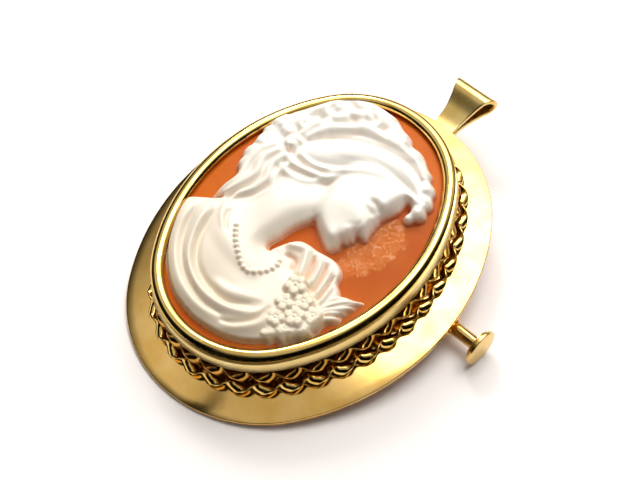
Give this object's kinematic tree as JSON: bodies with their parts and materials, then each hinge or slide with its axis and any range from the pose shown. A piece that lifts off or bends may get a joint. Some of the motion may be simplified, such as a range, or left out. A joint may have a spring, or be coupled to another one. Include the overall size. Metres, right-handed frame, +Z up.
{
  "type": "cameo pendant",
  "caption": "Oval shell cameo of a bust in a gold bezel with rows of twisted wire on a flared plate, with a bail at the top and a brooch pin with a pull-out catch behind.",
  "frame": {"origin": "on the floor below the middle of the jewel's length and width", "axes": "+Y from the foot of the cameo to the bail, +X to the catch's knob, +Z up from the floor through the face"},
  "size_m": [0.0352, 0.0448, 0.012],
  "materials": {
    "gold": "polished",
    "shell_orange": "polished",
    "shell_white": "satin"
  },
  "bodies": {
    "pendant": {"setting": "gold", "rope_inner": "gold", "rope_outer": "gold", "cameo_ground": "shell_orange", "cameo_relief": "shell_white", "hinge_rivet": "gold"},
    "pin": {"pin_stem": "gold"},
    "catch": {"catch_slide": "gold"}
  },
  "joints": [
    {"name": "pin_hinge", "type": "hinge", "parent": "pendant", "child": "pin", "pos_m": [-0.01414, 0.00081, 0.00187], "axis": [0, 0.9926, 0.1216], "range_deg": [0, 100]},
    {"name": "catch_slide_travel", "type": "slide", "parent": "pendant", "child": "catch", "axis": [1, 0, 0], "range_m": [-0.0025, 0]}
  ]
}
